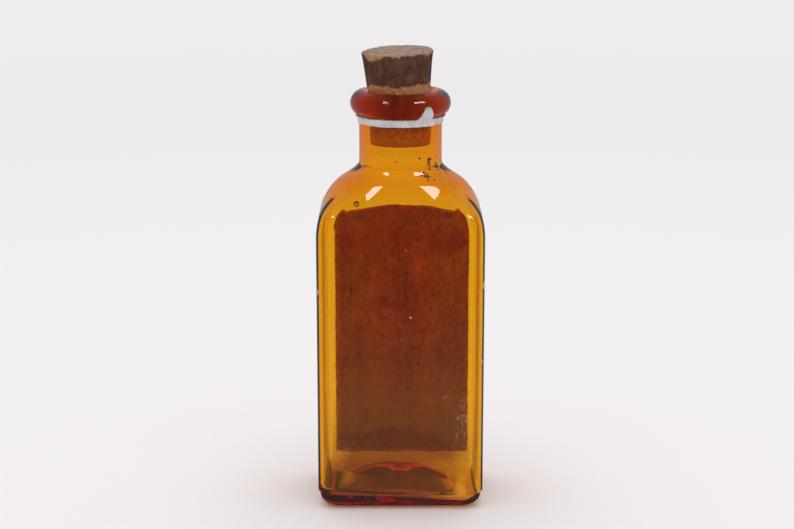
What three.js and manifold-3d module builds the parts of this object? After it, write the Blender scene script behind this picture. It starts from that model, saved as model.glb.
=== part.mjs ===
// Corked amber apothecary bottle
// A rectangular glass body with rounded upright edges rises through an arched shoulder to a round neck
// with a rolled lip. A tapered cork leans in the mouth, a paper label covers the back panel, and the torn
// remains of a white sealing band cling to the neck under the lip.
// Units are millimetres, +Z is up, the origin is the middle of the base, and the bare panel faces -Y.
import * as THREE from "three";
import { mergeVertices } from "three/addons/utils/BufferGeometryUtils.js";
import Module from "manifold-3d";

// Glass body, outside
const BODY_WIDTH = 48.6;
const BODY_DEPTH = 34;
const BODY_HEIGHT = 80.7; // from the table to the start of the shoulder
const EDGE_RADIUS = 4.5; // rounding of the upright edges
const HEEL_RADIUS = 4; // rounding between the walls and the base
const SEAM_HEIGHT = 4.3; // mould seam round the heel
const SEAM_STEP = 0.6; // how far the heel is set in below the seam
const SEAM_SLOPE = 0.8; // height over which it is set in

// Hollow of the body
const SIDE_WALL = 1.4;
const PANEL_WALL = 1.6;
const CAVITY_SHIFT = 0.3; // the hollow lies off centre, so the left wall is the thicker one
const INNER_EDGE_RADIUS = 2.7;
const INNER_HEEL_RADIUS = 4;

// Base, pushed up in the middle so that the bottle stands on a flat rim
const PUSH_UP_WIDTH = 32;
const PUSH_UP_DEPTH = 20;
const PUSH_UP_HEIGHT = 3;
const FLOOR_RIM_THICKNESS = 3.5;
const FLOOR_CENTRE_THICKNESS = 5.7;
const FLOOR_DOME_SPREAD = 0.9; // share of the hollow's floor that its dome covers

// Shoulder and neck
const SHOULDER_RISE = 18; // height of the quarter ellipse that the shoulder follows
const SHOULDER_WALL = 1.5;
const SHOULDER_TURN = 68; // degrees of that ellipse before it turns hollow towards the neck
const SHOULDER_ROUNDING = 9; // power by which its sections turn round, more for sooner
const ROUNDING_DELAY = 5; // power that keeps the upright edges clear before they fade, more for longer
const NECK_RADIUS = 12;
const NECK_ROOT_WALL = 2; // the bore widens a little from the mouth down to here
const MOUTH_WALL = 2.7;
const NECK_LENGTH = 16.2; // from the shoulder ellipse's top to the lip's underside
const NECK_HOLLOW = 1.5; // how far the hollow curve runs up the neck

// Rolled lip
const LIP_PROJECTION = 2.55; // how far it stands out from the neck
const LIP_HEIGHT = 7.4;
const LIP_ROOT = 1; // depth of the roll's centre line inside the neck's outside
const LIP_TURN = 55; // degrees below the widest line where the roll turns hollow towards the neck
const LIP_HOLLOW = 1.2; // how far that hollow curve runs down the neck
const MOUTH_DROP = 1.9; // height of the rounding from the lip's top into the bore

// Cork
const CORK_CLEARANCE = 0.25;
const CORK_TAPER = 0.3; // how much slimmer the buried end is than the part in the mouth
const CORK_INSERTION = 15.5; // from the lip's top to the buried end
const CORK_STAND = 11.4; // from the lip's top to the cork's top
const CORK_FLARE = 1.3; // how much wider the top is than the squeezed part in the mouth
const CORK_SWELL = 0.35; // how much of the flare is still to come halfway up
const CORK_EDGE = 0.5;
const CORK_LEAN_LEFT = 2.4; // degrees, of the part above the mouth
const CORK_LEAN_FRONT = 2.2; // degrees

// Paper label on the back panel
const LABEL_SIDE_MARGIN = 4.6;
const LABEL_SHIFT = 0.1; // it was pasted a little off centre
const LABEL_FOOT_MARGIN = 1.4; // above the heel's seam
const LABEL_SHOULDER_LAP = 3.9; // how far its upper corners run up onto the shoulder
const LABEL_ARCH = 1.8; // rise of its top edge in the middle
const LABEL_CORNER = 1.5;
const LABEL_THICKNESS = 0.15;
const LABEL_GLUE = 0.05;

// Torn sealing band under the lip
const SEAL_DROP = 1.9; // from the lip's underside to the band's lower edge
const SEAL_HEIGHT = 2.5; // measured along the glass
const SEAL_THICKNESS = 0.4;
const SEAL_GLUE = 0.1;
const SEAL_RAGGED = 0.18; // how far its edges wander
const SEAL_LOWER_WAVES = 5;
const SEAL_UPPER_WAVES = 7;
const TAB_RISE = 4.2; // a torn point of the band still lies over the lip
const TAB_DIRECTION = -53; // degrees round the neck from +X
const TAB_SPREAD = 13; // degrees to each side

// Fineness of the facets
const CORNER_STEPS = 12; // points on each quarter turn of the glass
const CURVE_STEPS = 10;
const SHORT_CURVE_STEPS = 4;
const DOME_STEPS = 6;
const HEEL_STEPS = 5;
const CORK_SIDES = 48;
const SEAL_SIDES = 96;
const SEAL_STEPS = 6;

// Sizes that follow from the ones above
const bodyHalfWidth = BODY_WIDTH / 2;
const bodyHalfDepth = BODY_DEPTH / 2;
const boreRadius = NECK_RADIUS - MOUTH_WALL;
const lipUnderside = BODY_HEIGHT + SHOULDER_RISE + NECK_LENGTH;
const lipTop = lipUnderside + LIP_HEIGHT;
const mouthHeight = lipTop - MOUTH_DROP;

const radians = THREE.MathUtils.degToRad;
const lerp = THREE.MathUtils.lerp;
const wasm = await Module();
wasm.setup();

// A quarter-turn curve of an ellipse, as centre and half axes in the plane of radius and height
function ellipsePoint(oval, angle) {
  return new THREE.Vector2(oval.x + oval.rx * Math.cos(angle), oval.z + oval.rz * Math.sin(angle));
}

// The height where the ellipse's tangent at an angle crosses the upright line at a radius
function tangentHeight(oval, angle, radius) {
  const point = ellipsePoint(oval, angle);
  const slope = (oval.rz * Math.cos(angle)) / (-oval.rx * Math.sin(angle));
  return point.y + (radius - point.x) * slope;
}

// The shoulder's side view: a quarter ellipse that turns hollow into an upright tube
function shoulderPath(halfWidth, start, rise, tubeRadius) {
  const oval = { x: tubeRadius, z: start, rx: halfWidth - tubeRadius, rz: rise };
  const turn = radians(SHOULDER_TURN);
  const crease = tangentHeight(oval, turn, tubeRadius);
  const path = new THREE.Path();
  path.absellipse(oval.x, oval.z, oval.rx, oval.rz, 0, turn, false);
  path.quadraticCurveTo(tubeRadius, crease, tubeRadius, crease + NECK_HOLLOW);
  return path;
}

// The outside of the lip, from the neck up over the roll to the start of the mouth's rounding
const lipOval = {
  x: NECK_RADIUS - LIP_ROOT,
  z: lipUnderside + LIP_HEIGHT / 2,
  rx: LIP_ROOT + LIP_PROJECTION,
  rz: LIP_HEIGHT / 2,
};
const lipTurn = -radians(LIP_TURN);
const lipCrease = tangentHeight(lipOval, lipTurn, NECK_RADIUS);

function startLipPath(start) {
  const path = new THREE.Path();
  const rollStart = ellipsePoint(lipOval, lipTurn);
  path.moveTo(NECK_RADIUS, start);
  if (start < lipCrease - LIP_HOLLOW) path.lineTo(NECK_RADIUS, lipCrease - LIP_HOLLOW);
  path.quadraticCurveTo(NECK_RADIUS, lipCrease, rollStart.x, rollStart.y);
  path.absellipse(lipOval.x, lipOval.z, lipOval.rx, lipOval.rz, lipTurn, Math.PI / 2, false);
  return path;
}

// A level section of the bottle: a rectangle with rounded corners that may be part of the way to an ellipse
function section(height, halfWidth, halfDepth, corner, shift = 0, roundness = 0) {
  return { height, halfWidth, halfDepth, corner, shift, roundness };
}

function roundSection(point) {
  return section(point.y, point.x, point.x, point.x);
}

// Points of one section, whose flats lie exactly at its half width and half depth
function sectionPoints(level) {
  const halfStep = Math.PI / 4 / CORNER_STEPS;
  const reach = 1 / Math.cos(halfStep);
  const along = (half, direction) => {
    const square = Math.sign(direction) * (half - level.corner) + level.corner * reach * direction;
    return lerp(square, half * reach * direction, level.roundness);
  };
  const points = [];
  for (let index = 0; index < 4 * CORNER_STEPS; index += 1) {
    const angle = (2 * index + 1) * halfStep;
    const x = along(level.halfWidth, Math.cos(angle));
    points.push(x + level.shift, along(level.halfDepth, Math.sin(angle)), level.height);
  }
  return points;
}

// A closed skin from a centre point over a run of sections to another centre point
function skin(startPoint, levels, endPoint) {
  const ringSize = 4 * CORNER_STEPS;
  const positions = [...startPoint, ...levels.flatMap(sectionPoints), ...endPoint];
  const indices = [];
  const at = (ring, index) => 1 + ring * ringSize + (index % ringSize);
  const last = levels.length - 1;
  const end = 1 + levels.length * ringSize;
  for (let index = 0; index < ringSize; index += 1) {
    indices.push(0, at(0, index + 1), at(0, index));
    for (let ring = 0; ring < last; ring += 1) {
      indices.push(at(ring, index), at(ring, index + 1), at(ring + 1, index + 1));
      indices.push(at(ring, index), at(ring + 1, index + 1), at(ring + 1, index));
    }
    indices.push(end, at(last, index), at(last, index + 1));
  }
  return indexedGeometry(positions, indices);
}

function indexedGeometry(positions, indices) {
  const geometry = new THREE.BufferGeometry();
  geometry.setAttribute("position", new THREE.Float32BufferAttribute(positions, 3));
  geometry.setIndex(indices);
  geometry.computeVertexNormals();
  return geometry;
}

// A dome over a share of a flat floor, as sections from near its middle out to the floor's rim
function domeSections(halfWidth, halfDepth, corner, rimHeight, rise, spread = 1, shift = 0) {
  const levels = [];
  for (let step = 1; step <= DOME_STEPS; step += 1) {
    const reach = step / DOME_STEPS;
    const height = rimHeight + rise * Math.max(0, 1 - (reach / spread) ** 2);
    const rounding = lerp(halfDepth * reach, corner, reach * reach);
    levels.push(section(height, halfWidth * reach, halfDepth * reach, rounding, shift));
  }
  return levels;
}

// A quarter round from a flat floor out to an upright wall
function heelSections(halfWidth, halfDepth, corner, radius, floor, shift = 0) {
  const levels = [];
  for (let step = 0; step <= HEEL_STEPS; step += 1) {
    const angle = ((Math.PI / 2) * step) / HEEL_STEPS;
    const inset = radius * (1 - Math.sin(angle));
    const height = floor + radius * (1 - Math.cos(angle));
    levels.push(section(height, halfWidth - inset, halfDepth - inset, corner, shift));
  }
  return levels;
}

// A shoulder, whose sections pass from the body's rounded rectangle to the round tube
function shoulderSections(size) {
  const path = shoulderPath(size.halfWidth, size.start, size.rise, size.tubeRadius);
  return path.getPoints(CURVE_STEPS / 2).map((point) => {
    const share = (point.x - size.tubeRadius) / (size.halfWidth - size.tubeRadius);
    const halfDepth = lerp(size.tubeRadius, size.halfDepth, share);
    const corner = lerp(size.tubeRadius, size.corner, share);
    const roundness = (1 - share ** SHOULDER_ROUNDING) ** ROUNDING_DELAY;
    return section(point.y, point.x, halfDepth, corner, size.shift * share, roundness);
  });
}

const outerShoulder = {
  halfWidth: bodyHalfWidth,
  halfDepth: bodyHalfDepth,
  corner: EDGE_RADIUS,
  start: BODY_HEIGHT,
  rise: SHOULDER_RISE,
  tubeRadius: NECK_RADIUS,
  shift: 0,
};

const innerShoulder = {
  halfWidth: bodyHalfWidth - SIDE_WALL,
  halfDepth: bodyHalfDepth - PANEL_WALL,
  corner: INNER_EDGE_RADIUS,
  start: BODY_HEIGHT,
  rise: SHOULDER_RISE - SHOULDER_WALL,
  tubeRadius: NECK_RADIUS - NECK_ROOT_WALL,
  shift: CAVITY_SHIFT,
};

// Bottle: base, body, shoulder, neck and lip are one piece of glass, outside and inside one closed skin
function glassBottle() {
  const pushUpCorner = PUSH_UP_DEPTH / 2;
  const pushUp = domeSections(PUSH_UP_WIDTH / 2, pushUpCorner, pushUpCorner, 0, PUSH_UP_HEIGHT);
  const heelHalfWidth = bodyHalfWidth - SEAM_STEP;
  const heelHalfDepth = bodyHalfDepth - SEAM_STEP;
  const heel = heelSections(heelHalfWidth, heelHalfDepth, EDGE_RADIUS, HEEL_RADIUS, 0);
  const seam = [
    section(SEAM_HEIGHT, heelHalfWidth, heelHalfDepth, EDGE_RADIUS),
    section(SEAM_HEIGHT + SEAM_SLOPE, bodyHalfWidth, bodyHalfDepth, EDGE_RADIUS),
  ];
  const lip = startLipPath(lipCrease - LIP_HOLLOW);
  lip.absellipse(lipOval.x, mouthHeight, lipOval.x - boreRadius, MOUTH_DROP, Math.PI / 2, Math.PI, false);

  const { halfWidth, halfDepth, corner, shift } = innerShoulder;
  const floorHalfWidth = halfWidth - INNER_HEEL_RADIUS;
  const floorHalfDepth = halfDepth - INNER_HEEL_RADIUS;
  const floorPeak = PUSH_UP_HEIGHT + FLOOR_CENTRE_THICKNESS;
  const floorRise = floorPeak - FLOOR_RIM_THICKNESS;
  const dome = domeSections(
    floorHalfWidth, floorHalfDepth, corner, FLOOR_RIM_THICKNESS, floorRise, FLOOR_DOME_SPREAD, shift);
  const innerHeel = heelSections(
    halfWidth, halfDepth, corner, INNER_HEEL_RADIUS, FLOOR_RIM_THICKNESS, shift);
  const hollow = [...dome.slice(0, -1), ...innerHeel, ...shoulderSections(innerShoulder)];

  const outside = [...pushUp, ...heel, ...seam, ...shoulderSections(outerShoulder)];
  const levels = [...outside, ...lip.getPoints(CURVE_STEPS / 2).map(roundSection), ...hollow.reverse()];
  return skin([0, 0, PUSH_UP_HEIGHT], levels, [shift, 0, floorPeak]);
}

// Cork: straight and slightly tapered in the bore, flared and leaning above it
function corkStopper() {
  const depth = CORK_INSERTION - MOUTH_DROP;
  const stand = CORK_STAND + MOUTH_DROP;
  const mouthRadius = boreRadius - CORK_CLEARANCE;
  const endRadius = mouthRadius - CORK_TAPER;
  const topRadius = mouthRadius + CORK_FLARE;
  const profile = new THREE.Path();
  profile.moveTo(0, -depth);
  profile.lineTo(endRadius - CORK_EDGE, -depth);
  profile.lineTo(endRadius, -depth + CORK_EDGE);
  profile.lineTo(mouthRadius, 0);
  profile.quadraticCurveTo(topRadius - CORK_SWELL, stand / 2, topRadius, stand - CORK_EDGE);
  profile.lineTo(topRadius - CORK_EDGE, stand);
  profile.lineTo(0, stand);
  const round = new THREE.LatheGeometry(profile.getPoints(SHORT_CURVE_STEPS), CORK_SIDES);
  return leanAboveMouth(round.rotateX(Math.PI / 2)).translate(0, 0, mouthHeight);
}

function leanAboveMouth(geometry) {
  const lean = new THREE.Euler(radians(CORK_LEAN_FRONT), -radians(CORK_LEAN_LEFT), 0);
  const positions = geometry.getAttribute("position");
  const place = new THREE.Vector3();
  for (let index = 0; index < positions.count; index += 1) {
    place.fromBufferAttribute(positions, index);
    if (place.z > 0) place.applyEuler(lean);
    positions.setXYZ(index, place.x, place.y, place.z);
  }
  geometry.computeVertexNormals();
  return geometry;
}

// Half depth of the bottle's outside at a height on the body or the lower shoulder
function panelDepth(height) {
  const rise = Math.max(0, height - BODY_HEIGHT) / SHOULDER_RISE;
  return lerp(NECK_RADIUS, bodyHalfDepth, Math.sqrt(1 - rise * rise));
}

function solid(geometry) {
  const bare = geometry.clone();
  bare.deleteAttribute("normal");
  bare.deleteAttribute("uv");
  const merged = mergeVertices(bare);
  const vertProperties = merged.getAttribute("position").array;
  return new wasm.Manifold(new wasm.Mesh({ numProp: 3, vertProperties, triVerts: merged.getIndex().array }));
}

// Label: a thin sheet that follows the panel onto the shoulder, cut to an outline with an arched top
function paperLabel() {
  const halfWidth = bodyHalfWidth - LABEL_SIDE_MARGIN;
  const foot = SEAM_HEIGHT + SEAM_SLOPE + LABEL_FOOT_MARGIN;
  const cornerHeight = BODY_HEIGHT + LABEL_SHOULDER_LAP;
  const crown = cornerHeight + LABEL_ARCH;

  const sheet = new THREE.Shape();
  const heights = [foot];
  for (let step = 0; step <= SHORT_CURVE_STEPS; step += 1) {
    heights.push(lerp(BODY_HEIGHT, crown, step / SHORT_CURVE_STEPS));
  }
  const face = (distance) =>
    heights.map((height) => new THREE.Vector2(panelDepth(height) + distance, height));
  sheet.setFromPoints([...face(LABEL_GLUE + LABEL_THICKNESS), ...face(LABEL_GLUE).reverse()]);
  const strip = new THREE.ExtrudeGeometry(sheet, { depth: 2 * halfWidth, bevelEnabled: false });
  strip.translate(0, 0, -halfWidth);
  strip.applyMatrix4(new THREE.Matrix4().makeBasis(
    new THREE.Vector3(0, 1, 0), new THREE.Vector3(0, 0, 1), new THREE.Vector3(1, 0, 0)));

  const outline = new THREE.Shape();
  outline.moveTo(-halfWidth, foot);
  outline.lineTo(halfWidth, foot);
  outline.lineTo(halfWidth, cornerHeight - LABEL_CORNER);
  outline.quadraticCurveTo(halfWidth, cornerHeight, halfWidth - LABEL_CORNER, cornerHeight);
  outline.quadraticCurveTo(0, crown + LABEL_ARCH, LABEL_CORNER - halfWidth, cornerHeight);
  outline.quadraticCurveTo(-halfWidth, cornerHeight, -halfWidth, cornerHeight - LABEL_CORNER);
  outline.closePath();
  const cutter = new THREE.ExtrudeGeometry(outline, { depth: BODY_DEPTH, bevelEnabled: false });
  cutter.rotateX(Math.PI / 2);
  cutter.translate(0, BODY_DEPTH + NECK_RADIUS, 0);

  strip.translate(LABEL_SHIFT, 0, 0);
  cutter.translate(LABEL_SHIFT, 0, 0);
  const mesh = solid(strip).intersect(solid(cutter)).getMesh();
  return indexedGeometry([...mesh.vertProperties], [...mesh.triVerts]);
}

// Sealing band: a sleeve along the neck's outside and the lip's underside, with one torn point left
function sealBand() {
  const path = startLipPath(lipUnderside - SEAL_DROP - SEAL_RAGGED);
  const length = path.getLength();
  const wave = (angle, count) => SEAL_RAGGED * Math.sin(count * angle + Math.cos(angle + count));

  const span = (angle) => {
    const aside = Math.abs(angle - radians(TAB_DIRECTION)) / radians(TAB_SPREAD);
    const lower = SEAL_RAGGED + wave(angle, SEAL_LOWER_WAVES);
    const upper = SEAL_RAGGED + SEAL_HEIGHT + wave(angle, SEAL_UPPER_WAVES);
    return [lower, upper + TAB_RISE * Math.max(0, 1 - aside)];
  };
  const onGlass = (along, distance) => {
    const point = path.getPointAt(along / length);
    const tangent = path.getTangentAt(along / length);
    return new THREE.Vector2(point.x + distance * tangent.y, point.y - distance * tangent.x);
  };
  const steps = Array.from({ length: SEAL_STEPS + 1 }, (_, step) => step / SEAL_STEPS);
  const positions = [];
  for (let side = 0; side < SEAL_SIDES; side += 1) {
    const angle = ((2 * side) / SEAL_SIDES - 1) * Math.PI;
    const [lower, upper] = span(angle);
    const along = steps.map((share) => lerp(lower, upper, share));
    const outer = along.map((place) => onGlass(place, SEAL_GLUE + SEAL_THICKNESS));
    const inner = along.map((place) => onGlass(place, SEAL_GLUE)).reverse();
    for (const point of [...outer, ...inner]) {
      positions.push(point.x * Math.cos(angle), point.x * Math.sin(angle), point.y);
    }
  }
  const loop = 2 * (SEAL_STEPS + 1);
  const indices = [];
  const at = (side, index) => (side % SEAL_SIDES) * loop + (index % loop);
  for (let side = 0; side < SEAL_SIDES; side += 1) {
    for (let index = 0; index < loop; index += 1) {
      indices.push(at(side, index), at(side + 1, index), at(side + 1, index + 1));
      indices.push(at(side, index), at(side + 1, index + 1), at(side, index + 1));
    }
  }
  return indexedGeometry(positions, indices);
}

function piece(name, geometry, finish) {
  const mesh = new THREE.Mesh(geometry, new THREE.MeshStandardMaterial(finish));
  mesh.name = name;
  return mesh;
}

const amber = { color: 0xc06a12, roughness: 0.05, metalness: 0, transparent: true, opacity: 0.6 };
const darkCork = { color: 0x5a3727, roughness: 0.85, metalness: 0 };
const brownPaper = { color: 0x8a6244, roughness: 0.9, metalness: 0 };
const whitePaper = { color: 0xe0dcd8, roughness: 0.8, metalness: 0 };

const bottle = new THREE.Group();
bottle.name = "apothecary_bottle";

bottle.add(piece("glass_bottle", glassBottle(), amber));
bottle.add(piece("cork_stopper", corkStopper(), darkCork));
bottle.add(piece("paper_label", paperLabel(), brownPaper));
bottle.add(piece("seal_band", sealBand(), whitePaper));

export default bottle;
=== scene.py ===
"""Finished look of a corked amber apothecary bottle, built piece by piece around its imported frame.

Lengths are metres in the frame's own axes: +Z is up, the bare panel faces -Y and the label faces +Y.
"""
import math
import random
from collections import namedtuple

import bmesh
import bpy
from bpy.props import FloatProperty, FloatVectorProperty, IntProperty, PointerProperty
from bpy.types import Operator, Panel, PropertyGroup
from mathutils import Matrix, Vector, noise
from mathutils.bvhtree import BVHTree


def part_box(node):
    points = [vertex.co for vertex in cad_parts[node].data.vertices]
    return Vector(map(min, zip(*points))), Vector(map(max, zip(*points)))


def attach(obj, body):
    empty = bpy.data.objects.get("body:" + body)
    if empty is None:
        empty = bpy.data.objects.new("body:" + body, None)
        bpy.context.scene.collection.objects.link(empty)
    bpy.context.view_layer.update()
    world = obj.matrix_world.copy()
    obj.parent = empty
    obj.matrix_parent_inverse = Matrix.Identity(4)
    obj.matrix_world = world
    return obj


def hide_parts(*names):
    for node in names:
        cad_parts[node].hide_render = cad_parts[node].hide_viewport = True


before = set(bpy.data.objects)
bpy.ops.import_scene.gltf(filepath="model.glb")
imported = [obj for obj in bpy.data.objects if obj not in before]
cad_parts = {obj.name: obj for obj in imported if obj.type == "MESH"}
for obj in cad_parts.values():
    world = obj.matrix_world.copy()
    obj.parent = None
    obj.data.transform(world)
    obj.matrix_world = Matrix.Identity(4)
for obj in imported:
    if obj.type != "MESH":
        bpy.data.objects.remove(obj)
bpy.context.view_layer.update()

bl_info = {
    "name": "Apothecary Bottle",
    "version": (1, 0, 0),
    "blender": (4, 5, 0),
    "location": "View3D > Sidebar > Bottle",
    "description": "Amber glass bottle with its cork, label and torn seal, on a pale studio floor",
    "category": "Add Mesh",
}

MM = 0.001
GLASS_LOW, GLASS_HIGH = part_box("glass_bottle")
LABEL_LOW, LABEL_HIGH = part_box("paper_label")
SEAL_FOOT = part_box("seal_band")[0].z
UP = Vector((0, 0, 1))
SIDEWAYS = Vector((1, 1, 0))


# Kinds of setting

def length(name, description, millimetres):
    return FloatProperty(name=name, description=description, default=millimetres * MM,
                         unit="LENGTH", precision=5)


def turn(name, description, degrees):
    return FloatProperty(name=name, description=description, default=math.radians(degrees),
                         subtype="ANGLE", unit="ROTATION")


def count(name, description, number):
    return IntProperty(name=name, description=description, default=number, min=1)


def amount(name, description, value):
    return FloatProperty(name=name, description=description, default=value, min=0)


def colour(name, description, *rgb):
    return FloatVectorProperty(name=name, description=description, default=rgb, size=3,
                               subtype="COLOR", min=0, max=1)


def place(name, description, *metres):
    return FloatVectorProperty(name=name, description=description, default=metres, size=3,
                               subtype="TRANSLATION", unit="LENGTH")


class GlassSettings(PropertyGroup):
    """Sizes and colour of the glass"""
    body_height: length("Body height", "From the table to the start of the shoulder", 80.7)
    edge_radius: length("Edge radius", "Rounding of the upright edges", 4.5)
    heel_radius: length("Heel radius", "Rounding between the walls and the base", 4)
    seam_height: length("Seam height", "Height of the mould seam round the heel", 4.3)
    seam_step: length("Seam step", "How far the heel is set in below the seam", 0.6)
    seam_slope: length("Seam slope", "Height over which the heel is set in", 0.8)
    side_wall: length("Side wall", "Thickness of the two narrow walls", 1.4)
    panel_wall: length("Panel wall", "Thickness of the two wide walls", 1.6)
    cavity_shift: length("Cavity shift", "How far the hollow lies off centre", 0.05)
    inner_edge_radius: length("Inner edge radius", "Rounding of the hollow's upright edges", 3.0)
    inner_heel_radius: length("Inner heel radius", "Rounding between hollow and floor", 3.4)
    push_up_width: length("Push-up width", "Width of the raised middle of the base", 32)
    push_up_depth: length("Push-up depth", "Depth of the raised middle of the base", 20)
    push_up_height: length("Push-up height", "Height of the raised middle of the base", 3)
    floor_rim: length("Floor rim", "Thickness of the floor at its rim", 2.8)
    floor_centre: length("Floor centre", "Thickness of the floor in its middle", 5.7)
    floor_tilt: length("Floor tilt", "How much lower the hollow's floor lies on the right", 1.0)
    floor_spread: amount("Floor spread", "Share of the hollow's floor that its dome covers", 0.9)
    shoulder_rise: length("Shoulder rise", "Height of the shoulder's quarter ellipse", 18)
    shoulder_wall: length("Shoulder wall", "Thickness of the shoulder", 1.5)
    shoulder_turn: turn("Shoulder turn", "Turn of the ellipse before it goes hollow to the neck", 68)
    shoulder_rounding: amount("Shoulder rounding", "Power by which its sections turn round", 9)
    rounding_delay: amount("Rounding delay", "Power that keeps the upright edges clear for longer", 5)
    hollow_delay: amount("Hollow delay", "The same power for the hollow", 4.5)
    hollow_flare: length("Hollow flare", "How far the hollow's curve runs up inside the neck", 6)
    neck_radius: length("Neck radius", "Outside radius of the neck", 12)
    neck_root_wall: length("Neck root wall", "Thickness of the neck at the shoulder", 2)
    mouth_wall: length("Mouth wall", "Thickness of the neck at the mouth", 2.7)
    neck_hollow: length("Neck hollow", "How far the hollow curve runs up the neck", 1.5)
    lip_projection: length("Lip projection", "How far the lip stands out from the neck", 2.55)
    lip_height: length("Lip height", "Height of the rolled lip", 7.4)
    lip_root: length("Lip root", "Depth of the roll's centre line inside the neck's outside", 1)
    lip_turn: turn("Lip turn", "Turn below the widest line where the roll goes hollow", 55)
    lip_hollow: length("Lip hollow", "How far that hollow curve runs down the neck", 1.2)
    mouth_drop: length("Mouth drop", "Height of the rounding from the lip's top to the bore", 1.9)
    absorption_colour: colour("Absorption colour", "Light that the glass lets through", 0.978, 0.846, 0.0)
    absorption_density: amount("Absorption density", "Strength of the amber, per metre", 1700)
    refraction: amount("Refraction", "Index of refraction of the glass", 1.52)
    dust: amount("Dust", "Share of light caught by dust outside, low on the body", 0.016)
    scuffs: amount("Scuffs", "Further share of light caught by scuffs round the heel", 0.012)
    dust_colour: colour("Dust colour", "Colour of that dust", 1.0, 0.98, 0.95)
    residue: amount("Residue", "Share of light caught by dried residue inside, low in the hollow", 0.05)
    residue_low: length("Residue low", "Height up to which the residue is thick", 5)
    residue_high: length("Residue high", "Height where the residue ends", 15)
    residue_colour: colour("Residue colour", "Colour of that residue", 0.45, 0.25, 0.11)
    stain_drop: length("Stain drop", "How far the residue in the mouth runs down below the lip", 0.3)
    stain_ragged: length("Stain edge", "How far the edge of that residue wanders", 0.8)
    stain_dark: colour("Mouth stain, dark", "Darker tone of the residue in the mouth", 0.11, 0.07, 0.04)
    stain_light: colour("Mouth stain, light", "Lighter tone of the residue in the mouth", 0.30, 0.19, 0.11)
    stain_side: colour("Mouth stain, sides", "Tone of the residue at the mouth's sides", 0.42, 0.36, 0.26)


class CorkSettings(PropertyGroup):
    """Sizes and colours of the cork"""
    clearance: length("Clearance", "Gap between the cork and the bore", 0.25)
    taper: length("Taper", "How much slimmer the buried end is than the part in the mouth", 0.3)
    insertion: length("Insertion", "From the lip's top to the buried end", 15.5)
    stand: length("Stand", "From the lip's top to the cork's top", 11.4)
    flare: length("Flare", "How much wider the top is than the squeezed part", 1.3)
    swell: length("Swell", "How much of the flare is still to come halfway up", 0.95)
    edge: length("Edge", "Rounding of the rim", 0.5)
    lean_left: turn("Lean left", "Lean of the cork to the left", 2.4)
    lean_front: turn("Lean front", "Lean of the cork to the front", 2.2)
    drift: length("Drift", "How far the crown has worked to the left", 0.4)
    clean_band: length("Clean band", "Height of the unstained band above the lip", 2.2)
    pit_depth: length("Pit depth", "Depth of the pores", 0.3)
    groove_depth: length("Groove depth", "Depth of the upright grain", 0.06)
    chip_depth: length("Chip depth", "Depth of the chips along the rim", 0.35)
    stain_dark: colour("Stain, dark", "Darkest tone of the stained side", 0.042, 0.016, 0.011)
    stain_light: colour("Stain, light", "Lightest tone of the stained side", 0.19, 0.078, 0.046)
    rubbed: colour("Rubbed patches", "Colour where the stain is rubbed away", 0.21, 0.092, 0.042)
    pores: colour("Pores", "Colour of the pores", 0.03, 0.014, 0.01)
    bare_dark: colour("Bare cork, dark", "Darker tone of clean cork", 0.30, 0.12, 0.042)
    bare_light: colour("Bare cork, light", "Lighter tone of clean cork", 0.55, 0.31, 0.135)
    crown_dark: colour("Crown, dark", "Darker tone of the weathered top", 0.20, 0.13, 0.10)
    crown_light: colour("Crown, light", "Lighter tone of the weathered top", 0.42, 0.31, 0.25)


class LabelSettings(PropertyGroup):
    """Sizes and colours of the paper label"""
    corner_drop: length("Corner drop", "How far the upper corners lie below the crown", 1.8)
    glue: length("Glue", "Thickness of the glue", 0.05)
    thickness: length("Thickness", "Thickness of the paper", 0.15)
    ragged: length("Ragged edge", "How far the torn edges wander", 0.6)
    spare_left: length("Spare left", "How far the paper reaches past the solid on the left", 0.5)
    spare_right: length("Spare right", "How far the paper reaches past the solid on the right", 1.2)
    paste_dark: colour("Pasted side, dark", "Darker tone of the side on the glass", 0.28, 0.20, 0.10)
    paste_light: colour("Pasted side, light", "Lighter tone of the side on the glass", 0.48, 0.38, 0.20)
    red_tint: colour("Red tint", "Tint of the arch under the top edge and of the middle", 0.95, 0.6, 0.42)
    darker_foot: amount("Darker foot", "How far the foot of the pasted side has darkened", 0.55)
    smudge: colour("Smudges", "Colour of the dark smudges", 0.06, 0.03, 0.02)
    worn: colour("Worn edge", "Colour of the worn edges", 0.6, 0.45, 0.26)
    paper_dark: colour("Paper, dark", "Darker tone of the outer side", 0.23, 0.125, 0.062)
    paper_light: colour("Paper, light", "Lighter tone of the outer side", 0.45, 0.29, 0.165)


class SealSettings(PropertyGroup):
    """Sizes and colours of the torn sealing band"""
    height: length("Height", "Height of the band along the glass", 2.5)
    thickness: length("Thickness", "Thickness of the band", 0.3)
    glue: length("Glue", "Thickness of the glue", 0.1)
    ragged: length("Ragged edge", "How far the torn edges wander", 0.22)
    tab_rise: length("Tab rise", "How far the torn point lies over the lip", 4.2)
    tab_direction: turn("Tab direction", "Direction of the torn point, round from +X", -56)
    tab_left: turn("Tab left", "Width of the torn point to the left of its tip", 14)
    tab_right: turn("Tab right", "Width of the torn point to the right of its tip", 8)
    paper: colour("Paper", "Colour of the band", 0.74, 0.72, 0.72)
    soiled: colour("Soiled paper", "Colour of its dirty edges", 0.30, 0.17, 0.08)


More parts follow.
